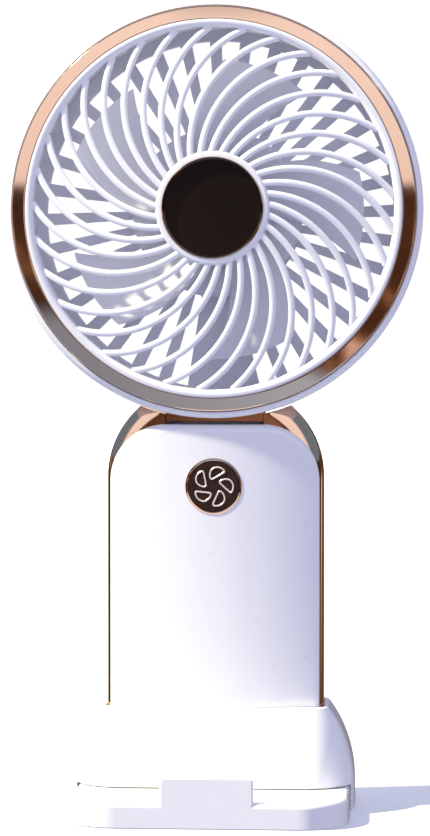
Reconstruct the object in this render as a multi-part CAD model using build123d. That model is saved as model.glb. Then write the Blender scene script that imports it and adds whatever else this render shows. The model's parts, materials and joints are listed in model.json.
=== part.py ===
"""Handheld electric fan standing in its dock.

Millimetres, +Z up, the grille faces -Y. The origin is on the floor under the handle's centre.
Head parts are drawn in a head frame (x right, y up, z towards the user, centre on the fan axis)
and turned into place by to_head; everything else is drawn where it stands.
"""
import os
from math import cos, radians, sin, sqrt

from build123d import *

# ---------------------------------------------------------------- driving dimensions
HEAD_R = 52.4            # outer radius of the head shell
HEAD_Z = 151.0           # height of the fan axis above the floor
FRONT_Z = 12.0           # head frame: shelf that the trim ring and grille sit on
BACK_Z = -15.0           # head frame: rear face of the head
WALL = 1.8               # moulded wall thickness
GAP = 0.3                # clearance between parts that move past each other

TRIM_IN, TRIM_OUT = 47.4, 50.7
GRILLE_OPEN = 45.1       # radius of the open part of the front grille
RIB_COUNT = 33
RIB_WIDTH = 1.6
RIB_DEPTH = 2.0
RIB_START = 9.8          # first rib, degrees clockwise from up
RIB_SWEEP = [(14.0, 0.0), (30.0, 20.4), (45.4, 44.1)]   # radius, degrees clockwise
HUB_R = 14.25            # white boss in the middle of the front grille
BEZEL_R = 12.65
MIRROR_R = 12.1

BACK_OPEN = 46.6         # rear opening of the shell
BACK_EDGE = 48.8         # radius where the shell's rear corner ends
STEP_R, STEP_Z = 48.6, -13.0    # inner corner of the step that seats the rear grille
CUP_R = 21.5             # motor cup in the rear grille
BAR_COUNT = 36
BAR_DEPTH = 1.6

BLADE_COUNT = 5
BLADE_TIP = 37.6
ROTOR_HUB_R = 14.0
MOTOR_R = 12.0
SHAFT_R = 1.0

HANDLE_W = 54.9          # width over the metal-look band
HANDLE_T = 25.0          # thickness over both covers
HANDLE_Z0 = 9.5          # lower end, standing in the dock
SHOULDER_R = 23.5
SHOULDER_Z = 83.6        # height where the shoulder arcs start
BAND_T = 18.0            # thickness of the band
BAND_ROUND = 5.0         # rounding of the band's outer edges
SADDLE_R = HEAD_R + 0.5
COLLAR_DROP = 53.2       # fan axis down to the collar's lower edge
COVER_W = HANDLE_W - 1.9
COVER_TOP = 97.0
COVER_CORNER = 14.3
CROWN = 3.5              # how far the covers' faces fall away towards their long edges
CROWN_R = ((COVER_W / 2) ** 2 + CROWN ** 2) / (2 * CROWN)
RIM_ROUND = 2.0          # rounding of the covers' rims

HINGE_Y = 6.0
HINGE_Z = HEAD_Z - 58.8
BARREL_R = 4.5
BARREL_W = 23.4
POCKET_W = 25.0
POCKET_Z = HINGE_Z - BARREL_R - 0.7
PIN_R = 1.5
PIN_REACH = 17.0         # half length of the hinge pin
WASHER_R = 3.8
CAVITY_W = HANDLE_W - 5.4
CAVITY_Z = (12.0, POCKET_Z - 2.0)

BUTTON_Z = 81.5
BUTTON_R = 6.3
BEZEL_WALL = 0.8         # radial width of the ring round the button
ICON_RISE = 0.12

BOARD_Y = (-6.4, -5.2)   # front and rear face of the main board
CELL_SIZE = (30.0, 10.0, 40.0)
CHARGE_BOARD_Y = (3.8, 5.0)
USB_Z = 42.0
USB_MOUTH = (9.0, 3.3, 1.6)     # width, height and corner radius of the socket's shell
USB_WALL = 0.3
SCREW_X, SCREW_ZS = 19.5, (18.0, 75.0)
SCREW_SEAT = 8.2         # Y of the seats under the screw heads
POST_END = 9.6           # posts and bosses end inside the crowned wall

BASE_W, BASE_D = 70.9, 40.0
BASE_TOP_W, BASE_TOP_D = 57.5, 27.8
BASE_Z = (0.5, 5.5, 25.8)       # lower edge, end of the upright sides, rim
BASE_BOW = 28.8                 # radius of the bowed side, seen from the front
SOCKET_W, SOCKET_D, SOCKET_Z = 55.5, 25.6, 9.2
LEDGE_W = 68.5
LEDGE_FRONT = -40.0
LEDGE_BACK = -11.0       # rear edge of the ledge's full width
LEDGE_TOP = 6.5
LEDGE_CORNER = 12.0
LEDGE_TRAVEL = 17.0
LIP_W, LIP_TOP, LIP_T = 22.6, 12.6, 2.2
SKIRT = 3.0              # side skirts of the ledge, which pass beside the bottom plate
PLATE_Z = (0.8, 2.0)     # lower and upper face of the bottom plate
PLATE_FRONT = -2.2       # front edge of the plate between the skirts
PAD_Z = 0.8              # thickness of the rubber pads the dock stands on
BASE_SCREWS = [(-28.0, 12.0), (28.0, 12.0)]


# ---------------------------------------------------------------- helpers
def to_head(shape):
    """Turn a shape drawn in the head frame so that its z axis points to the front (-Y)."""
    return Pos(0, 0, HEAD_Z) * Rot(90, 0, 0) * shape


def turned(outline):
    """Revolve an (r, z) outline about the z axis."""
    return revolve(Plane.XZ * make_face(outline), Axis.Z)


def ring(r_in, r_out, z0, z1):
    """Plain ring, or a disc when r_in is 0."""
    body = Pos(0, 0, z0) * extrude(Circle(r_out), z1 - z0)
    if r_in:
        body -= Pos(0, 0, z0) * extrude(Circle(r_in), z1 - z0)
    return body


def rod_x(radius, x0, x1, y, z):
    """Cylinder along X."""
    return Pos(x0, y, z) * Rot(0, 90, 0) * extrude(Circle(radius), x1 - x0)


def rod_y(radius, x, y0, y1, z):
    """Cylinder along Y from y0 up to y1."""
    return Pos(x, y0, z) * Rot(-90, 0, 0) * extrude(Circle(radius), y1 - y0)


def slab_y(sketch, y0, y1):
    """Extrude a sketch drawn in (X, Z) from y0 back to y1."""
    return Pos(0, y1, 0) * extrude(Plane.XZ * sketch, y1 - y0)


def block(x0, x1, y0, y1, z0, z1):
    """Box from its limits."""
    return Pos((x0 + x1) / 2, (y0 + y1) / 2, (z0 + z1) / 2) * Box(x1 - x0, y1 - y0, z1 - z0)


def around(shape, count, start=0.0):
    """Copies of a shape turned about the z axis."""
    return [Rot(0, 0, start + 360 / count * i) * shape for i in range(count)]


def clockwise(radius, degrees):
    """Point in the head frame at an angle clockwise from up."""
    return radius * sin(radians(degrees)), radius * cos(radians(degrees))


# ---------------------------------------------------------------- head shell and grilles
def bowl_outside():
    """Outer line of the bowl, front lip to rear edge."""
    lip = ThreePointArc((50.95, 13.2), (51.95, 12.85), (HEAD_R, 11.5))
    side = ThreePointArc((HEAD_R, 11.5), (52.0, 1.5), (50.9, -9.5))
    corner = ThreePointArc((50.9, -9.5), (50.25, -13.1), (BACK_EDGE, BACK_Z))
    return lip + side + corner


def bowl_inside():
    """Inner line of the bowl, rear step to front shelf."""
    return ThreePointArc((STEP_R, STEP_Z), (50.0, -2.5), (50.5, 10.4))


def head_shell():
    """Bowl with the neck lug and hinge barrel moulded under it."""
    shelf = Polyline((50.5, 10.4), (46.6, 10.4), (46.6, FRONT_Z), (50.95, FRONT_Z), (50.95, 13.2))
    back = Polyline((BACK_EDGE, BACK_Z), (BACK_OPEN, BACK_Z), (BACK_OPEN, STEP_Z), (STEP_R, STEP_Z))
    bowl = to_head(turned(bowl_outside() + back + bowl_inside() + shelf))
    hollow = Polyline((50.5, 10.4), (0, 10.4), (0, STEP_Z), (STEP_R, STEP_Z))
    inside = to_head(turned(bowl_inside() + hollow))
    half = BARREL_W / 2
    lug = rod_x(BARREL_R, -half, half, HINGE_Y, HINGE_Z)
    lug += block(-half, half, HINGE_Y - BARREL_R, HINGE_Y + BARREL_R, HINGE_Z, HEAD_Z - 40)
    wide = POCKET_W / 2 - GAP
    lug += block(-wide, wide, HINGE_Y - BARREL_R, HINGE_Y + BARREL_R, HINGE_Z + WASHER_R + GAP, HEAD_Z - 40)
    lug -= inside
    return bowl + lug - rod_x(PIN_R + 0.05, -half, half, HINGE_Y, HINGE_Z)


def neck_collar():
    """Metal-look plate under the head that closes the neck opening in front of the lug."""
    half = POCKET_W / 2 - GAP
    bowl = turned(bowl_outside() + Polyline((BACK_EDGE, BACK_Z), (0, BACK_Z), (0, 13.2), (50.95, 13.2)))
    plate = block(-half, half, -8.0, HINGE_Y - BARREL_R, HEAD_Z - COLLAR_DROP, HEAD_Z - 48)
    return plate - to_head(bowl)


def front_dome(drop):
    """Solid below the domed front of the grille, lowered by drop."""
    edge = GRILLE_OPEN + 0.6
    top = ThreePointArc((0, 17.3 - drop), (25, 16.7 - drop), (edge, 14.7 - drop))
    return turned(top + Polyline((edge, 14.7 - drop), (edge, 2), (0, 2), (0, 17.3 - drop)))


def front_grille():
    """White grille: rim, swirled ribs and centre boss."""
    middle = ThreePointArc(*[clockwise(r, a) for r, a in RIB_SWEEP])
    rib = trace(middle, RIB_WIDTH)
    ribs = Sketch() + [Rot(0, 0, -360 / RIB_COUNT * i - RIB_START) * rib for i in range(RIB_COUNT)]
    dome = front_dome(0) - front_dome(RIB_DEPTH)
    body = extrude(ribs, 20) & dome
    rim = Polyline((GRILLE_OPEN, 9.6), (46.5, 9.6), (46.5, FRONT_Z), (47.35, FRONT_Z), (47.35, 15.0))
    rim += ThreePointArc((47.35, 15.0), (46.3, 15.25), (GRILLE_OPEN, 14.6))
    rim += Line((GRILLE_OPEN, 14.6), (GRILLE_OPEN, 9.6))
    boss = turned(Polyline((0, 14.2), (HUB_R, 14.2), (HUB_R, 17.0), (13.9, 17.4), (BEZEL_R, 17.4),
                           (BEZEL_R, 15.4), (0, 15.4), (0, 14.2)))
    return to_head(body + turned(rim) + boss)


def trim_ring():
    """Polished annular trim: a flat cone, higher at its inner edge, with a bevel outside."""
    return to_head(turned(Polyline((TRIM_IN, FRONT_Z), (TRIM_OUT, FRONT_Z), (TRIM_OUT, 13.5), (50.4, 14.1),
                                   (TRIM_IN, 15.2), (TRIM_IN, FRONT_Z))))


def hub_bezel():
    """Chamfered metal-look ring round the centre disc."""
    return to_head(turned(Polyline((MIRROR_R, 15.4), (BEZEL_R, 15.4), (BEZEL_R, 17.5), (12.5, 17.6),
                                   (MIRROR_R, 16.8), (MIRROR_R, 15.4))))


def hub_disc():
    """Dark mirror disc."""
    return to_head(ring(0, MIRROR_R, 15.4, 16.6))


def rear_grille():
    """Rear grille: rim, radial bars, the wide bar over the wires and the motor cup."""
    bar = make_face(Polyline((-1.0, 21.0), (1.0, 21.0), (0.5, 45.8), (-2.6, 45.8), (-1.0, 21.0)))
    bars = extrude(Sketch() + around(bar, BAR_COUNT), BAR_DEPTH)
    duct = make_face(Polyline((-4.4, -21.0), (4.4, -21.0), (8.4, -45.6), (-8.4, -45.6), (-4.4, -21.0)))
    bars += extrude(duct, BAR_DEPTH + 0.6)
    inner, outer, flange = BACK_OPEN - 1.4, BACK_OPEN - 0.1, STEP_R - 0.2
    rim = turned(Polyline((inner, BACK_Z), (outer, BACK_Z), (outer, STEP_Z), (flange, STEP_Z),
                          (flange, STEP_Z + 1.2), (inner, STEP_Z + 1.2), (inner, BACK_Z)))
    cup = turned(Polyline((20.0, BACK_Z), (CUP_R, BACK_Z), (CUP_R, -1.0), (20.5, 0), (4.0, 0), (4.0, -1.4),
                          (20.0, -1.4), (20.0, BACK_Z)))
    cup -= [Pos(x, 0, 0) * ring(0, 0.9, -1.4, 0) for x in (-8, 8)]
    return to_head(Pos(0, 0, BACK_Z + 0.4) * bars + rim + cup)


def motor_cover():
    """Cap that closes the motor cup at the back."""
    cap = ring(0, 20.0, BACK_Z, -14.0) + ring(18.6, 20.0, -14.0, -12.4)
    return to_head(cap)


# ---------------------------------------------------------------- motor and impeller
def motor_can():
    """Drawn steel can with its locating boss."""
    can = turned(Polyline((2.5, 0), (4.0, 0), (4.0, -1.4), (MOTOR_R, -1.4), (MOTOR_R, -12.9),
                          (11.2, -12.9), (11.2, -2.4), (2.5, -2.4), (2.5, 0)))
    can -= [Pos(x, 0, 0) * ring(0, 0.9, -2.4, -1.4) for x in (-8, 8)]
    return to_head(can)


def motor_end_cap():
    """Plastic end cap with slots for the two terminals."""
    cap = ring(2.0, 11.2, -12.9, -11.4)
    cap -= [Pos(x, 0, 0) * block(-0.4, 0.4, -1.5, 1.5, -13, -11.4) for x in (-6, 6)]
    return to_head(cap)


def motor_terminals():
    """Two solder tabs through the end cap."""
    return to_head(Compound(children=[block(x - 0.4, x + 0.4, -1.5, 1.5, -13.8, -10.9) for x in (-6, 6)]))


def motor_brushes():
    """Two spring brushes beside the commutator."""
    return to_head(Compound(children=[block(min(x, 2 * x), max(x, 2 * x), -0.7, 0.7, -11.4, -10.6)
                                      for x in (-2.7, 2.7)]))


def motor_magnets():
    """Two arc magnets in the can."""
    arc = ring(9.7, 11.2, -10.6, -3.4)
    keep = [block(2.8, 12, -12, 12, -12, 0), block(-12, -2.8, -12, 12, -12, 0)]
    return to_head(Compound(children=[arc & side for side in keep]))


def motor_bushes():
    """Sintered bushes, front and rear."""
    bore = SHAFT_R + 0.04
    return to_head(Compound(children=[ring(bore, 2.5, -2.4, 0), ring(bore, 2.0, -12.9, -11.4)]))


def motor_screws():
    """Two screws that hold the motor to the cup."""
    screw = ring(0, 0.9, -3.2, 0) + ring(0, 1.8, 0, 1.1) - Pos(0, 0, 0.6) * Box(3.0, 0.5, 1.0)
    return to_head(Compound(children=[Pos(x, 0, 0) * screw for x in (-8, 8)]))


def rotor_core():
    """Five-pole laminated core."""
    pole = block(-1.1, 1.1, 2.5, 8.2, -9.6, -4.4)
    shoe = ring(7.9, 9.3, -9.6, -4.4) & block(-4.6, 4.6, 4, 12, -12, 0)
    core = ring(SHAFT_R, 3.2, -9.6, -4.4)
    return to_head(core + around(pole + shoe, 5))


def rotor_windings():
    """Copper coil round each pole."""
    coil = block(-2.4, 2.4, 3.9, 7.4, -10.4, -3.6) - block(-1.1, 1.1, 3, 9, -9.6, -4.4)
    return to_head(Compound(children=around(coil, 5)))


def commutator():
    """Commutator on the shaft."""
    return to_head(ring(SHAFT_R, 2.5, -11.2, -10.5))


def motor_shaft():
    """Steel shaft through the motor into the impeller."""
    return to_head(ring(0, SHAFT_R, -13.3, 9.5))


def blade_section(radius, degrees, chord, pitch):
    """Blade cross-section on the plane square to a radius; degrees is clockwise from up."""
    x, y = clockwise(radius, degrees)
    out = Vector(x, y, 0).normalized()
    along = Vector(out.Y, -out.X, 0)
    plane = Plane(origin=(x, y, 6.6), x_dir=along, z_dir=out)
    return plane * Rot(0, 0, pitch) * RectangleRounded(chord, 1.3, 0.6)


def impeller():
    """Five-bladed impeller with its hub cup."""
    stations = [(9.0, -14, 10.5, 36), (18.0, -7, 15.9, 29), (28.0, 3, 20.6, 23), (39.5, 14.4, 24.3, 19)]
    blade = loft([blade_section(*s) for s in stations])
    blade &= ring(0, BLADE_TIP, -5, 20)
    blades = Part() + around(blade, BLADE_COUNT, -10)
    cup = turned(Polyline((12.5, 2.0), (ROTOR_HUB_R, 2.0), (ROTOR_HUB_R, 11.0), (13.2, 11.8), (0, 11.8),
                          (0, 10.0), (12.5, 10.0), (12.5, 2.0)))
    body = blades - ring(0, 12.6, -5, 20) + cup + ring(0, 3.0, 2.0, 10.0)
    return to_head(body - ring(0, SHAFT_R, 0, 9.5))


# ---------------------------------------------------------------- handle
def rounded_panel(width, z0, z1, top_r, low_r):
    """Panel outline in (X, Z) with its own top and bottom corner radii."""
    face = Pos(0, (z0 + z1) / 2) * Rectangle(width, z1 - z0)
    high = face.vertices().group_by(Axis.Y)[-1]
    face = fillet(high, top_r)
    return fillet(face.vertices().group_by(Axis.Y)[0], low_r)


def band_blank():
    """The band before it is hollowed: convex edge, shoulders and the saddle for the head."""
    outline = rounded_panel(HANDLE_W, HANDLE_Z0, SHOULDER_Z + SHOULDER_R, SHOULDER_R, 6.0)
    blank = slab_y(outline, -BAND_T / 2, BAND_T / 2)
    rims = blank.edges().filter_by_position(Axis.Y, -BAND_T / 2 - 0.01, -BAND_T / 2 + 0.01)
    rims += blank.edges().filter_by_position(Axis.Y, BAND_T / 2 - 0.01, BAND_T / 2 + 0.01)
    blank = fillet(rims, BAND_ROUND)
    return blank - rod_y(SADDLE_R, 0, -20, 20, HEAD_Z)


def cavity(y0, y1):
    """Room inside the handle for the battery and the boards."""
    return slab_y(rounded_panel(CAVITY_W, *CAVITY_Z, 12.0, 3.0), y0, y1)


def neck_pocket():
    """Opening in the top of the handle for the hinge barrel."""
    half = POCKET_W / 2
    return block(-half, half, -BAND_T, BAND_T, POCKET_Z, HEAD_Z)


def handle_frame(blank):
    """Metal-look middle band that holds both covers and the hinge pin."""
    frame = blank - cavity(-BAND_T, BAND_T) - neck_pocket()
    frame -= rod_y(BUTTON_R + 1.1, 0, -BAND_T, BOARD_Y[0] + 0.8, BUTTON_Z)
    return frame - hinge_pin()


def lens(inset):
    """Space between the crowned front and rear faces of the handle, drawn in by inset."""
    drum = Cylinder(CROWN_R - inset, 400)
    shift = CROWN_R - HANDLE_T / 2
    return Pos(0, shift, 100) * drum & Pos(0, -shift, 100) * drum


def cover_blank(blank):
    """Front cover before its holes: a shallow crowned tray that mates with the band."""
    outline = rounded_panel(COVER_W, HANDLE_Z0 + 0.5, COVER_TOP, COVER_CORNER, 5.5)
    cover = slab_y(outline, -HANDLE_T / 2, -4.0) & lens(0)
    cover = fillet(cover.faces().sort_by(Axis.Y)[0].edges(), RIM_ROUND)
    return cover - blank - (cavity(-HANDLE_T / 2, 0) & lens(WALL))


def front_cover(blank):
    """Front cover with the button hole and four screw bosses."""
    inner = -HANDLE_T / 2 + WALL
    cover = cover_blank(blank) - rod_y(BUTTON_R + 0.45, 0, -20, 0, BUTTON_Z)
    cover -= rod_y(BUTTON_R + 1.1, 0, inner, 0, BUTTON_Z)
    for z in SCREW_ZS:
        for x in (-SCREW_X, SCREW_X):
            cover += rod_y(2.6, x, -POST_END, -1.0, z) - rod_y(0.85, x, -7.0, -1.0, z)
    return cover


def rear_cover(blank):
    """Rear cover with the neck notch, the charging opening and counterbored screw posts."""
    inner = HANDLE_T / 2 - WALL
    cover = cover_blank(blank).mirror(Plane.XZ)
    half = POCKET_W / 2 + 0.2
    cover -= block(-half, half, 0, 20, POCKET_Z - 0.2, 110)
    for z in SCREW_ZS:
        for x in (-SCREW_X, SCREW_X):
            cover += rod_y(3.2, x, -1.0, POST_END, z)
            cover -= rod_y(1.1, x, -1.0, SCREW_SEAT, z) + rod_y(2.1, x, SCREW_SEAT, HANDLE_T / 2, z)
    mouth = Pos(0, USB_Z) * RectangleRounded(*USB_MOUTH)
    return cover - slab_y(mouth, inner - 1, HANDLE_T)


def handle_screws():
    """Four long screws from the rear cover into the front cover."""
    parts = []
    for z in SCREW_ZS:
        for x in (-SCREW_X, SCREW_X):
            slot = block(x - 1.4, x + 1.4, SCREW_SEAT + 0.9, SCREW_SEAT + 1.5, z - 0.25, z + 0.25)
            shank = rod_y(0.85, x, -7.0, SCREW_SEAT, z)
            parts.append(shank + rod_y(1.95, x, SCREW_SEAT, SCREW_SEAT + 1.4, z) - slot)
    return Compound(children=parts)


def hinge_pin():
    """Steel pin held in the band's shoulders."""
    return rod_x(PIN_R, -PIN_REACH, PIN_REACH, HINGE_Y, HINGE_Z)


def hinge_washers():
    """Friction washers at both ends of the barrel."""
    half = POCKET_W / 2
    washer = rod_x(WASHER_R, half - 0.65, half, HINGE_Y, HINGE_Z) - rod_x(PIN_R, 0, half, HINGE_Y, HINGE_Z)
    return Compound(children=[washer, washer.mirror(Plane.YZ)])


def button_bezel():
    """Metal-look ring round the power button, chamfered inwards."""
    low, high = BUTTON_R + 0.15, BUTTON_R + BEZEL_WALL
    outline = Polyline((low, 10.7), (low, 12.3), (high - 0.2, 13.1), (high, 12.9), (high, 12.5),
                       (low + 0.3, 12.5), (low + 0.3, 10.7), (low, 10.7))
    return Pos(0, 0, BUTTON_Z) * Rot(90, 0, 0) * turned(outline)


def power_button():
    """Push button: face, skirt, retaining flange and the stem over the switch."""
    cap = rod_y(BUTTON_R, 0, -HANDLE_T / 2, -10.6, BUTTON_Z)
    cap += rod_y(BUTTON_R + 0.6, 0, -10.6, -10.0, BUTTON_Z)
    cap -= rod_y(BUTTON_R - 1.2, 0, -11.6, -9.0, BUTTON_Z)
    return cap + rod_y(1.3, 0, -11.7, -11.1, BUTTON_Z)


def petal_outline():
    """One raised petal outline, pointed at its inner end and swept like a fan blade."""
    loops = []
    for half_w, tail, head in ((1.35, -1.75, 1.9), (0.88, -1.15, 1.42)):
        left = [(-half_w, 0.1), (-0.75 * half_w, 0.8 * head)]
        right = [(0.45 * half_w, head), (half_w, 0.3 * head)]
        points = [(0, tail)] + left + right
        loops.append(make_face(Spline(*points, periodic=True)))
    return loops[0] - loops[1]


def button_icon():
    """Five petal outlines moulded on the button face."""
    petals = []
    for i in range(5):
        x, z = clockwise(3.4, 14 + 72 * i)
        petals.append(Pos(x, BUTTON_Z + z) * Rot(0, 0, -54 - 72 * i) * petal_outline())
    face = -HANDLE_T / 2
    return Compound(children=[slab_y(petal, face - ICON_RISE, face) for petal in petals])


def tact_switch():
    """Square push switch on the main board."""
    body = block(-3, 3, -9.9, BOARD_Y[0], BUTTON_Z - 3, BUTTON_Z + 3)
    return body + rod_y(1.75, 0, -10.4, -9.9, BUTTON_Z)


def main_board():
    """Control board behind the front cover."""
    return block(-15, 15, *BOARD_Y, 30, BUTTON_Z + 3.1)


def board_chips():
    """Controller, boost inductor and two capacitors on the main board."""
    face = BOARD_Y[0]
    chips = [block(-3, 3, face - 1, face, 60, 66), block(-9, -4, face - 2.2, face, 45, 50)]
    chips += [block(4, 6.4, face - 1.5, face, z, z + 4) for z in (44, 52)]
    return Compound(children=chips)


def battery_cell():
    """Flat lithium cell with rounded long edges."""
    width, depth, height = CELL_SIZE
    top = CAVITY_Z[1] - 0.7
    cell = block(-width / 2, width / 2, BOARD_Y[1] + 1, BOARD_Y[1] + 1 + depth, top - height, top)
    return fillet(cell.edges().filter_by(Axis.Z), 3.0)


def charge_board():
    """Small board that carries the charging socket."""
    return block(-10, 10, *CHARGE_BOARD_Y, USB_Z - 7, USB_Z + 1.8)


def usb_c_port():
    """Steel shell of the charging socket, opening to the rear."""
    width, height, corner = USB_MOUTH
    thin = 2 * USB_WALL
    floor = CHARGE_BOARD_Y[1]
    shell = slab_y(Pos(0, USB_Z) * RectangleRounded(width, height, corner), floor, HANDLE_T / 2 - 0.2)
    mouth = RectangleRounded(width - thin, height - thin, corner - USB_WALL)
    return shell - slab_y(Pos(0, USB_Z) * mouth, floor + 0.8, HANDLE_T)


def usb_c_tongue():
    """Contact tongue inside the charging socket."""
    return slab_y(Pos(0, USB_Z) * Rectangle(6.7, 0.7), CHARGE_BOARD_Y[1] + 0.8, HANDLE_T / 2 - 1)


# ---------------------------------------------------------------- dock
def bow(rise):
    """How far the bowed side has come in at a height above the upright part."""
    return BASE_BOW - sqrt(BASE_BOW ** 2 - rise ** 2)


def dock_sections(inset, low, high):
    """Sections of the dock body; above the upright part each side bows in on one arc."""
    shrink = (BASE_W - BASE_TOP_W) / 2
    shapes = [(low, 0.0)]
    for share in (0, 0.25, 0.5, 0.75, 1.0):
        rise = share * (BASE_Z[2] - BASE_Z[1])
        lean = bow(rise) / bow(BASE_Z[2] - BASE_Z[1])
        shapes.append((BASE_Z[1] + share * (high - BASE_Z[1]), lean))
    sections = []
    for height, lean in shapes:
        width = BASE_W - 2 * shrink * lean - 2 * inset
        depth = BASE_D - (BASE_D - BASE_TOP_D) * lean - 2 * inset
        sections.append(Pos(0, 0, height) * RectangleRounded(width, depth, 13 - 6 * lean - inset))
    return sections


def dock_blank(inset, low, high):
    """Dock body as two stacked lofts: upright sides, then the bowed part."""
    sections = dock_sections(inset, low, high)
    return loft(sections[:2]) + loft(sections[1:])


def base_shell():
    """Dock body with the socket that holds the handle and the opening for the ledge."""
    outer = dock_blank(0, BASE_Z[0], BASE_Z[2])
    outer = fillet(outer.edges().group_by(Axis.Z)[-1], 0.45)
    hollow = dock_blank(WALL, BASE_Z[0], BASE_Z[2] - WALL)
    well = Pos(0, 0, SOCKET_Z - 2) * extrude(RectangleRounded(SOCKET_W + 3.2, SOCKET_D + 3.2, 6.9), 40)
    posts = Part() + [Pos(x, y, 2.0) * extrude(Circle(3.2), 12) for x, y in BASE_SCREWS]
    shell = outer - (hollow - well - posts)
    shell -= Pos(0, 0, SOCKET_Z) * extrude(RectangleRounded(SOCKET_W, SOCKET_D, 5.3), 40) & lens(-GAP)
    half = LEDGE_W / 2 + GAP
    shell -= block(-half, half, -30, LEDGE_BACK + LEDGE_TRAVEL + 0.6, -1, LEDGE_TOP + GAP)
    return shell - [Pos(x, y, 2.0) * extrude(Circle(1.05), 9) for x, y in BASE_SCREWS]


def base_bottom_plate():
    """Plate screwed under the dock body."""
    plate = dock_blank(WALL + 0.1, BASE_Z[0], BASE_Z[2] - WALL)
    half = LEDGE_W / 2
    narrow = half - SKIRT - GAP
    keep = block(-narrow, narrow, PLATE_FRONT, BASE_D, *PLATE_Z)
    plate &= keep + block(-half, half, LEDGE_BACK + LEDGE_TRAVEL + 0.6, BASE_D, *PLATE_Z)
    for x, y in BASE_SCREWS:
        sink = Polyline((0, 0.7), (2.35, 0.7), (1.05, 2.0), (1.05, 2.1), (0, 2.1), (0, 0.7))
        plate -= Pos(x, y, 0) * turned(sink)
    return plate


def base_foot_pad():
    """Non-slip rubber sheet under the plate."""
    return Pos(0, 7.8, 0) * extrude(RectangleRounded(58, 19, 5), PAD_Z)


def base_screws():
    """Two countersunk screws that hold the plate."""
    screw = turned(Polyline((0, 0.85), (2.2, 0.85), (1.05, 2.0), (1.05, 9.0), (0, 10.0), (0, 0.85)))
    screw -= Pos(0, 0, 0.9) * Box(3.2, 0.5, 0.8)
    return Compound(children=[Pos(x, y, 0) * screw for x, y in BASE_SCREWS])


def phone_ledge():
    """Pull-out ledge with a raised lip that keeps a phone from sliding off."""
    half = LEDGE_W / 2
    front = Pos(0, (LEDGE_FRONT + LEDGE_BACK) / 2) * Rectangle(LEDGE_W, LEDGE_BACK - LEDGE_FRONT)
    front = fillet(front.vertices().group_by(Axis.Y)[0], LEDGE_CORNER)
    tray = Pos(0, 0, 0.3) * extrude(front, LEDGE_TOP - 0.3)
    rim = tray.edges().group_by(Axis.Z)[-1].filter_by_position(Axis.Y, LEDGE_FRONT - 1, LEDGE_BACK - 1)
    tray = fillet(rim, 1.4)
    tray -= block(SKIRT - half, half - SKIRT, PLATE_FRONT - LEDGE_TRAVEL - 0.6, 0, 0, 2.3)
    lip = Pos(0, LIP_TOP / 2 + 1) * Rectangle(LIP_W, LIP_TOP - 2)
    lip = fillet(lip.vertices().group_by(Axis.Y)[-1], 1.4)
    lip = slab_y(lip, LEDGE_FRONT, LEDGE_FRONT + LIP_T)
    lip = fillet(lip.edges().filter_by_position(Axis.Z, LIP_TOP - 0.01, LIP_TOP + 0.01), 0.5)
    tongue = block(-15, 15, LEDGE_BACK - 0.5, LEDGE_BACK + 11.5, 2.3, LEDGE_TOP)
    return tray + lip + tongue - ledge_pads()


def ledge_pads():
    """Rubber feet under the front of the ledge."""
    return Compound(children=[Pos(x, -33.0, 0) * extrude(Circle(3.5), PAD_Z) for x in (-22, 22)])


# ---------------------------------------------------------------- write the parts
def main():
    os.makedirs("parts", exist_ok=True)
    blank = band_blank()
    parts = {
        "base_shell": base_shell(),
        "base_bottom_plate": base_bottom_plate(),
        "base_foot_pad": base_foot_pad(),
        "base_screws": base_screws(),
        "phone_ledge": phone_ledge(),
        "ledge_pads": ledge_pads(),
        "handle_frame": handle_frame(blank),
        "front_cover": front_cover(blank),
        "rear_cover": rear_cover(blank),
        "handle_screws": handle_screws(),
        "hinge_pin": hinge_pin(),
        "hinge_washers": hinge_washers(),
        "button_bezel": button_bezel(),
        "power_button": power_button(),
        "button_icon": button_icon(),
        "tact_switch": tact_switch(),
        "main_board": main_board(),
        "board_chips": board_chips(),
        "battery_cell": battery_cell(),
        "charge_board": charge_board(),
        "usb_c_port": usb_c_port(),
        "usb_c_tongue": usb_c_tongue(),
        "head_shell": head_shell(),
        "neck_collar": neck_collar(),
        "front_grille": front_grille(),
        "trim_ring": trim_ring(),
        "hub_bezel": hub_bezel(),
        "hub_disc": hub_disc(),
        "rear_grille": rear_grille(),
        "motor_cover": motor_cover(),
        "motor_can": motor_can(),
        "motor_end_cap": motor_end_cap(),
        "motor_terminals": motor_terminals(),
        "motor_brushes": motor_brushes(),
        "motor_magnets": motor_magnets(),
        "motor_bushes": motor_bushes(),
        "motor_screws": motor_screws(),
        "rotor_core": rotor_core(),
        "rotor_windings": rotor_windings(),
        "commutator": commutator(),
        "motor_shaft": motor_shaft(),
        "impeller": impeller(),
    }
    for node, shape in parts.items():
        export_step(shape, f"parts/{node}.step")


main()
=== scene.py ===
"""Looks of the handheld fan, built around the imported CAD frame. Units: metres."""
import json
import math

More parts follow.
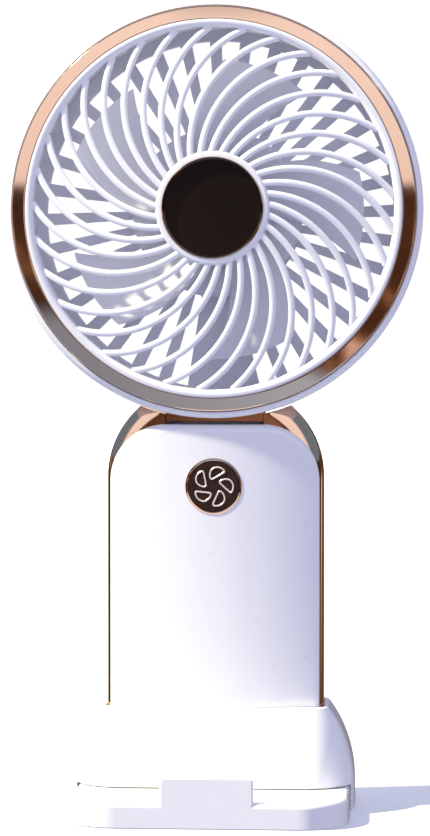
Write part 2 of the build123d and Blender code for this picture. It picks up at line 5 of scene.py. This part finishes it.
import bmesh
import bpy
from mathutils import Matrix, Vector


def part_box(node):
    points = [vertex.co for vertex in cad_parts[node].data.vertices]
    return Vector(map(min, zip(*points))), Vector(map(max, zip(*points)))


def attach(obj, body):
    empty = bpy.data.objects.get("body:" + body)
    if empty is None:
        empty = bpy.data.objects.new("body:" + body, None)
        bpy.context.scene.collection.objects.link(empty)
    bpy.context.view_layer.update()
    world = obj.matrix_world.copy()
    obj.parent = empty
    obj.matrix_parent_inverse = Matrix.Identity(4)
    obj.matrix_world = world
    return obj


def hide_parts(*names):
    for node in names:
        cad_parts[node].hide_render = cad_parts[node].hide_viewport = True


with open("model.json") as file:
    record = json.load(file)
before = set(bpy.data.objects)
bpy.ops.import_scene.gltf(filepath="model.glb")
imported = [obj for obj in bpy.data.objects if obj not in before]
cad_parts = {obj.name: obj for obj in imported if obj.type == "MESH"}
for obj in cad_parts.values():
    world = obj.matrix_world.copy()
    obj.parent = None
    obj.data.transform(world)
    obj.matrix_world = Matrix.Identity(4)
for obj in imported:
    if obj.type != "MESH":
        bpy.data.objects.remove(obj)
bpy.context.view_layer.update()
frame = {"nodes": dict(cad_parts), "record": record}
nodes = frame["nodes"]


# ---------------------------------------------------------------- node helpers
def colour_ramp(tree, source, stops):
    """Colour ramp over a value, from (position, colour) stops."""
    node = tree.nodes.new("ShaderNodeValToRGB")
    elements = node.color_ramp.elements
    while len(elements) < len(stops):
        elements.new(0.5)
    for element, (position, colour) in zip(elements, stops):
        element.position = position
        element.color = (*colour, 1)
    tree.links.new(source, node.inputs["Fac"])
    return node.outputs["Color"]


class Shader:
    """A material with one Principled shader and short calls to add nodes to it."""

    def __init__(self, name, colour, roughness, metallic=0.0, **sockets):
        self.mat = bpy.data.materials.new(name)
        self.mat.use_nodes = True
        self.tree = self.mat.node_tree
        self.bsdf = self.tree.nodes["Principled BSDF"]
        self.bsdf.inputs["Base Color"].default_value = (*colour, 1)
        self.bsdf.inputs["Roughness"].default_value = roughness
        self.bsdf.inputs["Metallic"].default_value = metallic
        for socket, value in sockets.items():
            self.bsdf.inputs[socket.replace("_", " ")].default_value = value

    def add(self, kind):
        return self.tree.nodes.new(kind)

    def link(self, source, target):
        self.tree.links.new(source, target)

    def place(self):
        return self.add("ShaderNodeTexCoord").outputs["Object"]

    def noise(self, scale, detail):
        tex = self.add("ShaderNodeTexNoise")
        tex.inputs["Scale"].default_value = scale
        tex.inputs["Detail"].default_value = detail
        self.link(self.place(), tex.inputs["Vector"])
        return tex.outputs["Fac"]

    def ramp(self, source, stops):
        return colour_ramp(self.tree, source, stops)

    def span(self, source, low, high):
        node = self.add("ShaderNodeMapRange")
        node.inputs["To Min"].default_value = low
        node.inputs["To Max"].default_value = high
        self.link(source, node.inputs["Value"])
        return node.outputs["Result"]

    def bump(self, source, strength, distance):
        node = self.add("ShaderNodeBump")
        node.inputs["Strength"].default_value = strength
        node.inputs["Distance"].default_value = distance
        self.link(source, node.inputs["Height"])
        self.link(node.outputs["Normal"], self.bsdf.inputs["Normal"])


# ---------------------------------------------------------------- materials
def white_plastic():
    """Glossy white moulding with faint flow marks and a fine satin texture."""
    s = Shader("white_plastic", (0.9, 0.9, 0.92), 0.28, Coat_Weight=0.35, Coat_Roughness=0.12)
    s.link(s.ramp(s.noise(14, 2), [(0.3, (0.899, 0.899, 0.919)), (0.7, (0.903, 0.903, 0.923))]),
           s.bsdf.inputs["Base Color"])
    s.link(s.span(s.noise(160, 4), 0.26, 0.30), s.bsdf.inputs["Roughness"])
    s.bump(s.noise(2600, 2), 0.04, 0.00002)
    return s.mat


def rose_gold():
    """Polished rose-gold plating with faint haze and polishing marks."""
    roughness = 0.07
    s = Shader("rose_gold", (0.87, 0.58, 0.45), roughness, 1.0)
    s.link(s.ramp(s.noise(30, 3), [(0.25, (0.85, 0.56, 0.43)), (0.75, (0.89, 0.61, 0.48))]),
           s.bsdf.inputs["Base Color"])
    s.link(s.span(s.noise(420, 5), roughness * 0.6, roughness * 1.7), s.bsdf.inputs["Roughness"])
    s.bump(s.noise(900, 2), 0.02, 0.00002)
    return s.mat


def dark_mirror():
    """Near-black mirror with a trace of fingerprints in its gloss."""
    s = Shader("dark_mirror", (0.012, 0.009, 0.008), 0.05, 0.0, Coat_Weight=0.2, Coat_Roughness=0.03)
    s.link(s.span(s.noise(260, 5), 0.03, 0.10), s.bsdf.inputs["Roughness"])
    return s.mat


def dark_button():
    """Dark brown glossy button face."""
    s = Shader("dark_button", (0.030, 0.013, 0.012), 0.14, 0.0, Coat_Weight=0.5, Coat_Roughness=0.08)
    s.link(s.ramp(s.noise(500, 3), [(0.3, (0.022, 0.010, 0.009)), (0.7, (0.040, 0.018, 0.016))]),
           s.bsdf.inputs["Base Color"])
    s.link(s.span(s.noise(700, 4), 0.10, 0.22), s.bsdf.inputs["Roughness"])
    return s.mat


def icon_silver():
    """Pinkish silver of the raised icon."""
    s = Shader("icon_silver", (0.93, 0.84, 0.81), 0.25, 0.35)
    s.link(s.span(s.noise(900, 4), 0.18, 0.34), s.bsdf.inputs["Roughness"])
    return s.mat


def satin(name, colour, roughness, metallic=0.0, grain=1400, spread=0.06):
    """Satin surface with a fine moulded or cast texture."""
    s = Shader(name, colour, roughness, metallic)
    low = tuple(c * (1 - spread) for c in colour)
    high = tuple(min(1, c * (1 + spread)) for c in colour)
    s.link(s.ramp(s.noise(40, 3), [(0.3, low), (0.7, high)]), s.bsdf.inputs["Base Color"])
    rougher = min(1, roughness * 1.25)
    s.link(s.span(s.noise(grain / 3, 4), roughness * 0.8, rougher), s.bsdf.inputs["Roughness"])
    s.bump(s.noise(grain, 3), 0.08, 0.00003)
    return s.mat


MATERIALS = {
    "white_plastic": white_plastic(),
    "rose_gold": rose_gold(),
    "dark_mirror": dark_mirror(),
    "dark_button": dark_button(),
    "icon_silver": icon_silver(),
    "grey_plastic": satin("grey_plastic", (0.86, 0.86, 0.90), 0.36),
    "black_plastic": satin("black_plastic", (0.03, 0.03, 0.033), 0.4),
    "steel": satin("steel", (0.60, 0.60, 0.62), 0.28, 1.0),
    "magnet": satin("magnet", (0.08, 0.08, 0.09), 0.6),
    "copper": satin("copper", (0.72, 0.30, 0.13), 0.3, 1.0),
    "bronze": satin("bronze", (0.60, 0.40, 0.20), 0.45, 1.0),
    "board_green": satin("board_green", (0.02, 0.16, 0.06), 0.35),
    "cell_wrap": satin("cell_wrap", (0.45, 0.47, 0.52), 0.35, 0.6),
    "rubber_grey": satin("rubber_grey", (0.10, 0.10, 0.105), 0.8, grain=2400),
}

for part in frame["record"]["subparts"]:
    obj = nodes[part["node"]]
    obj.data.materials.clear()
    obj.data.materials.append(MATERIALS[part["material_slot"]])


# ---------------------------------------------------------------- finer pieces
# Millimetres: x right, y up, z to the front, centre on the fan axis or on the button.
AXIS_Z = sum(corner[2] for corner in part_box("hub_disc")) / 2 * 1000
BUTTON_Z = sum(corner[2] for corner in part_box("power_button")) / 2 * 1000
RIB_COUNT = 33
RIB_START = 9.8                                          # first rib, degrees clockwise from up
RIB_SWEEP = [(14.0, 0.0), (30.0, 20.4), (45.4, 44.1)]    # radius, degrees clockwise
RIB_HALF = 0.84                                          # half width of a rib
RIB_DEPTH = 2.0
SHARP_DEGREES = 38                                       # edges steeper than this stay sharp
MERGE_DISTANCE = 1e-6                                    # metres
PETAL_COUNT = 5
PETAL_START = 18.0                                       # first petal of the icon, degrees clockwise from up
PETAL_MIDDLE = (3.0, 0.23)                               # middle of its straight side: outwards, clockwise
PETAL_LEAN = (0.737, 0.676)                              # direction of that side: outwards, clockwise
COVER_CROWN_R = 102.07                                   # radius of the covers' crowned faces
DOME = [(0.0, 17.3), (25.0, 16.7), (45.7, 14.7)]         # radius and height of the domed front


def head_point(x, y, z, centre=AXIS_Z):
    """Point of the head frame, or of one at another height, in the scene's metres."""
    return x / 1000, -z / 1000, (centre + y) / 1000


def circle_through(a, b, c):
    """Centre and radius of the circle through three points of a plane."""
    (ax, ay), (bx, by), (cx, cy) = a, b, c
    scale = 2 * (ax * (by - cy) + bx * (cy - ay) + cx * (ay - by))
    squares = [px * px + py * py for px, py in (a, b, c)]
    x = (squares[0] * (by - cy) + squares[1] * (cy - ay) + squares[2] * (ay - by)) / scale
    y = (squares[0] * (cx - bx) + squares[1] * (ax - cx) + squares[2] * (bx - ax)) / scale
    return x, y, math.hypot(ax - x, ay - y)


def grid(verts, faces, rows, centre=AXIS_Z, capped=False):
    """Add rows of points, each a closed loop, with quads between neighbours and, if asked, end faces."""
    start, width = len(verts), len(rows[0])
    for row in rows:
        verts.extend(head_point(*point, centre) for point in row)
    for i in range(len(rows) - 1):
        for j in range(width):
            low, high = start + i * width, start + (i + 1) * width
            faces.append((low + j, low + (j + 1) % width, high + (j + 1) % width, high + j))
    if capped:
        faces.append(tuple(range(start, start + width)))
        faces.append(tuple(range(len(verts) - width, len(verts))))


def lathe(verts, faces, profile, count=224):
    """Closed ring from a closed (radius, z) profile."""
    rows = []
    for i in range(count + 1):
        turn = 2 * math.pi * i / count
        rows.append([(r * math.sin(turn), r * math.cos(turn), z) for r, z in profile])
    grid(verts, faces, rows)


def disc(verts, faces, radius, z, count=96):
    """Flat disc that faces the front."""
    start = len(verts)
    for i in range(count):
        turn = 2 * math.pi * i / count
        verts.append(head_point(radius * math.sin(turn), radius * math.cos(turn), z))
    faces.append(tuple(range(start, start + count)))


def piece(name, verts, faces, body, node, slot):
    """Mesh object that stands for a CAD node."""
    mesh = bpy.data.meshes.new(name)
    mesh.from_pydata(verts, [], faces)
    edit = bmesh.new()
    edit.from_mesh(mesh)
    bmesh.ops.remove_doubles(edit, verts=edit.verts, dist=MERGE_DISTANCE)
    bmesh.ops.recalc_face_normals(edit, faces=edit.faces)
    edit.to_mesh(mesh)
    edit.free()
    mesh.polygons.foreach_set("use_smooth", [True] * len(mesh.polygons))
    mesh.set_sharp_from_angle(angle=math.radians(SHARP_DEGREES))
    mesh.materials.append(MATERIALS[slot])
    obj = bpy.data.objects.new(name, mesh)
    bpy.context.scene.collection.objects.link(obj)
    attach(obj, body)
    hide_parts(node)


def dome_height(radius):
    """Height of the domed grille front at a radius."""
    cx, cz, reach = circle_through(*DOME)
    return cz + math.sqrt(reach * reach - (radius - cx) ** 2)


def rib_rows(start):
    """Cross-sections of one swirled rib with a rounded crest."""
    points = []
    for radius, degrees in RIB_SWEEP:
        turn = math.radians(start + degrees)
        points.append((radius * math.sin(turn), radius * math.cos(turn)))
    cx, cy, reach = circle_through(*points)
    angles = [math.atan2(y - cy, x - cx) for x, y in points]
    first, last = angles[0], angles[2]
    if abs(last - first) > math.pi:
        last -= math.copysign(2 * math.pi, last - first)
    section = [(-0.80, -1.0), (-1.0, -0.22), (-0.92, -0.09), (-0.66, -0.02), (0.0, 0.0),
               (0.66, -0.02), (0.92, -0.09), (1.0, -0.22), (0.80, -1.0)]
    rows, steps = [], 28
    for i in range(steps + 1):
        turn = first + (last - first) * i / steps
        out_x, out_y = math.cos(turn), math.sin(turn)
        top = dome_height(math.hypot(cx + reach * out_x, cy + reach * out_y))
        rows.append([(cx + (reach + across * RIB_HALF) * out_x, cy + (reach + across * RIB_HALF) * out_y,
                      top + down * RIB_DEPTH) for across, down in section])
    return rows


def front_grille():
    """Rim, swirled ribs and centre boss of the front grille."""
    verts, faces = [], []
    for i in range(RIB_COUNT):
        grid(verts, faces, rib_rows(RIB_START + 360 / RIB_COUNT * i), capped=True)
    lathe(verts, faces, [(45.1, 9.6), (46.5, 9.6), (46.5, 12.0), (47.3, 12.0), (47.3, 14.9), (47.15, 15.12),
                         (46.7, 15.24), (46.0, 15.2), (45.5, 14.95), (45.2, 14.6), (45.1, 14.1)])
    lathe(verts, faces, [(12.65, 15.4), (12.65, 17.2), (12.8, 17.38), (13.5, 17.4), (13.95, 17.3),
                         (14.2, 17.0), (14.25, 16.6), (14.25, 14.2), (12.65, 14.2)])
    disc(verts, faces, 12.65, 14.2)
    piece("front_grille_fine", verts, faces, "head", "front_grille", "white_plastic")


def trim_ring():
    """Flat cone with softened edges and a narrow groove to the shell's lip."""
    verts, faces = [], []
    profile = [(47.4, 12.0), (47.4, 15.05), (47.48, 15.15), (47.6, 15.12), (47.75, 15.066), (50.25, 14.158),
               (50.4, 14.1), (50.52, 14.0), (50.62, 13.8), (50.66, 13.5), (50.66, 12.0)]
    lathe(verts, faces, profile, 288)
    piece("trim_ring_fine", verts, faces, "head", "trim_ring", "rose_gold")


def button_bezel():
    """Thin ring round the button, chamfered inwards, that follows the crown of the cover."""
    profile = [(6.42, 10.9), (6.42, 12.36), (6.46, 12.42), (6.98, 12.62), (7.05, 12.63), (7.1, 12.58),
               (7.1, 12.53), (6.72, 12.53), (6.72, 10.9)]
    rows, steps = [], 160
    for i in range(steps + 1):
        turn = 2 * math.pi * i / steps
        row = []
        for r, z in profile:
            x = r * math.sin(turn)
            fall = COVER_CROWN_R - math.sqrt(COVER_CROWN_R ** 2 - x * x)
            row.append((x, r * math.cos(turn), z - fall))
        rows.append(row)
    verts, faces = [], []
    grid(verts, faces, rows, BUTTON_Z)
    piece("button_bezel_fine", verts, faces, "handle", "button_bezel", "rose_gold")


def petal_path():
    """Centre line of one petal: a straight side, a bulged side and rounded corners."""
    path = [(-2.1, -0.1), (-1.8, 1.15), (-0.8, 2.1), (0.4, 2.15),
            (1.5, 1.45), (2.15, -0.1), (0.9, -0.15), (-0.9, -0.15)]
    for _ in range(3):
        cut = []
        for (ax, ay), (bx, by) in zip(path, path[1:] + path[:1]):
            cut.append((0.75 * ax + 0.25 * bx, 0.75 * ay + 0.25 * by))
            cut.append((0.25 * ax + 0.75 * bx, 0.25 * ay + 0.75 * by))
        path = cut
    return path


def button_icon():
    """Five raised petal outlines with chamfered edges on the button's face."""
    verts, faces = [], []
    path = petal_path()
    section = [(-0.2, 12.48), (-0.18, 12.62), (-0.11, 12.68), (0.11, 12.68), (0.18, 12.62), (0.2, 12.48)]
    lean_cos, lean_sin = PETAL_LEAN
    for i in range(PETAL_COUNT):
        turn = math.radians(PETAL_START + 360 / PETAL_COUNT * i)
        rows = []
        for j in range(len(path) + 1):
            (px, py), (x0, y0), (x1, y1) = (path[(j + step) % len(path)] for step in (0, -1, 1))
            length = math.hypot(x1 - x0, y1 - y0)
            row = []
            for across, z in section:
                along = px - across * (y1 - y0) / length
                out = py + across * (x1 - x0) / length
                u = PETAL_MIDDLE[0] + along * lean_cos + out * lean_sin
                v = PETAL_MIDDLE[1] + along * lean_sin - out * lean_cos
                x = u * math.sin(turn) + v * math.cos(turn)
                y = u * math.cos(turn) - v * math.sin(turn)
                row.append((x, y, z))
            rows.append(row)
        grid(verts, faces, rows, BUTTON_Z)
    piece("button_icon_fine", verts, faces, "button", "button_icon", "icon_silver")


front_grille()
trim_ring()
button_bezel()
button_icon()


# ---------------------------------------------------------------- stage
def pale(name, colour):
    """Matt pale paint with the faintest unevenness."""
    s = Shader(name, colour, 0.7)
    dimmer = tuple(c * 0.985 for c in colour)
    s.link(s.ramp(s.noise(3, 2), [(0.3, dimmer), (0.7, colour)]), s.bsdf.inputs["Base Color"])
    return s.mat


def ground(material):
    """Wide level floor that neither lights the object nor shows in its polished parts."""
    reach = 6.0
    mesh = bpy.data.meshes.new("floor")
    corners = [(-reach, -reach, 0), (reach, -reach, 0), (reach, reach, 0), (-reach, reach, 0)]
    mesh.from_pydata(corners, [], [(0, 1, 2, 3)])
    mesh.materials.append(material)
    flat = bpy.data.objects.new("floor", mesh)
    flat.visible_glossy = False
    flat.visible_diffuse = False
    bpy.context.scene.collection.objects.link(flat)


def sun(name, towards, power, colour, angle, mirrored=True):
    """Distant light that comes from the given direction, seen in reflections or not."""
    light = bpy.data.lights.new(name, "SUN")
    light.energy = power
    light.color = colour
    light.angle = math.radians(angle)
    lamp = bpy.data.objects.new(name, light)
    lamp.location = Vector(towards)
    lamp.visible_glossy = mirrored
    lamp.rotation_euler = (-Vector(towards)).to_track_quat("-Z", "Y").to_euler()
    bpy.context.scene.collection.objects.link(lamp)


def world_light():
    """Lilac ambient light, stronger from behind, a white backdrop, and in the reflections a bright sky
    over a dark horizon and a grey-blue ground."""
    world = bpy.data.worlds.new("studio")
    bpy.context.scene.world = world
    world.use_nodes = True
    tree = world.node_tree
    path = tree.nodes.new("ShaderNodeLightPath")

    def mix(fac, low, high):
        node = tree.nodes.new("ShaderNodeMix")
        node.data_type = "RGBA"
        for name, value in (("Factor", fac), ("A", low), ("B", high)):
            socket = node.inputs[name]
            if isinstance(value, tuple):
                socket.default_value = (*value, 1)
            else:
                tree.links.new(value, socket)
        return node.outputs["Result"]

    def span(source, low, high):
        node = tree.nodes.new("ShaderNodeMapRange")
        node.inputs["From Min"].default_value = low
        node.inputs["From Max"].default_value = high
        tree.links.new(source, node.inputs["Value"])
        return node.outputs["Result"]

    direction = tree.nodes.new("ShaderNodeTexCoord").outputs["Generated"]
    parts = tree.nodes.new("ShaderNodeSeparateXYZ")
    tree.links.new(direction, parts.inputs[0])
    leaning = tree.nodes.new("ShaderNodeMath")
    leaning.operation = "MULTIPLY_ADD"
    leaning.inputs[1].default_value = 0.25
    tree.links.new(parts.outputs["X"], leaning.inputs[0])
    tree.links.new(parts.outputs["Z"], leaning.inputs[2])
    patches = tree.nodes.new("ShaderNodeTexNoise")
    patches.inputs["Scale"].default_value = 5.0
    patches.inputs["Detail"].default_value = 2.0
    tree.links.new(direction, patches.inputs["Vector"])
    dark = colour_ramp(tree, patches.outputs["Fac"],
                       [(0.0, (0.02, 0.012, 0.008)), (0.52, (0.07, 0.035, 0.02)),
                        (0.60, (0.30, 0.16, 0.09)), (0.66, (0.95, 0.80, 0.70))])
    below = mix(span(parts.outputs["X"], -0.5, 0.3), (0.24, 0.33, 0.45), (0.40, 0.57, 0.76))
    sky = colour_ramp(tree, span(parts.outputs["Z"], -1.0, 1.0),
                      [(0.57, (0.95, 0.93, 0.92)), (0.86, (1.0, 1.0, 1.0)), (0.91, (0.22, 0.23, 0.27))])
    above_ground = span(leaning.outputs[0], -0.50, -0.44)
    above_horizon = span(parts.outputs["Z"], 0.13, 0.16)
    sideways = span(parts.outputs["Y"], -0.5, -0.3)
    mirrored = mix(above_horizon, mix(above_ground, below, dark), mix(sideways, sky, (0.16, 0.24, 0.33)))
    ambient = mix(span(parts.outputs["Y"], 0.0, 0.3), (0.385, 0.40, 0.56), (0.80, 0.83, 1.05))
    seen = mix(path.outputs["Is Camera Ray"], ambient, (1.0, 1.0, 1.0))
    back = tree.nodes["Background"]
    tree.links.new(mix(path.outputs["Is Glossy Ray"], seen, mirrored), back.inputs["Color"])
    back.inputs["Strength"].default_value = 1.05


def camera():
    """Camera at the height of the neck, a little to the right of the fan."""
    aim = Vector((-0.0004, 0.0, 0.0984))
    turn, distance, height = math.radians(3.6), 0.65, 0.112
    data = bpy.data.cameras.new("camera")
    data.sensor_fit = "VERTICAL"
    data.sensor_height = 24.0
    data.lens = 73.0
    cam = bpy.data.objects.new("camera", data)
    cam.location = (distance * math.sin(turn), -distance * math.cos(turn), height)
    cam.rotation_euler = (aim - cam.location).to_track_quat("-Z", "Y").to_euler()
    bpy.context.scene.collection.objects.link(cam)
    bpy.context.scene.camera = cam


ground(pale("floor", (0.93, 0.93, 0.94)))
bpy.context.scene.view_settings.view_transform = "Standard"
world_light()
sun("key", (-0.66, -0.17, 0.73), 7.4, (1.0, 0.93, 0.66), 2.5)
sun("fill", (0.2, -1.0, 0.25), 0.67, (0.72, 0.74, 1.0), 50, mirrored=False)
camera()
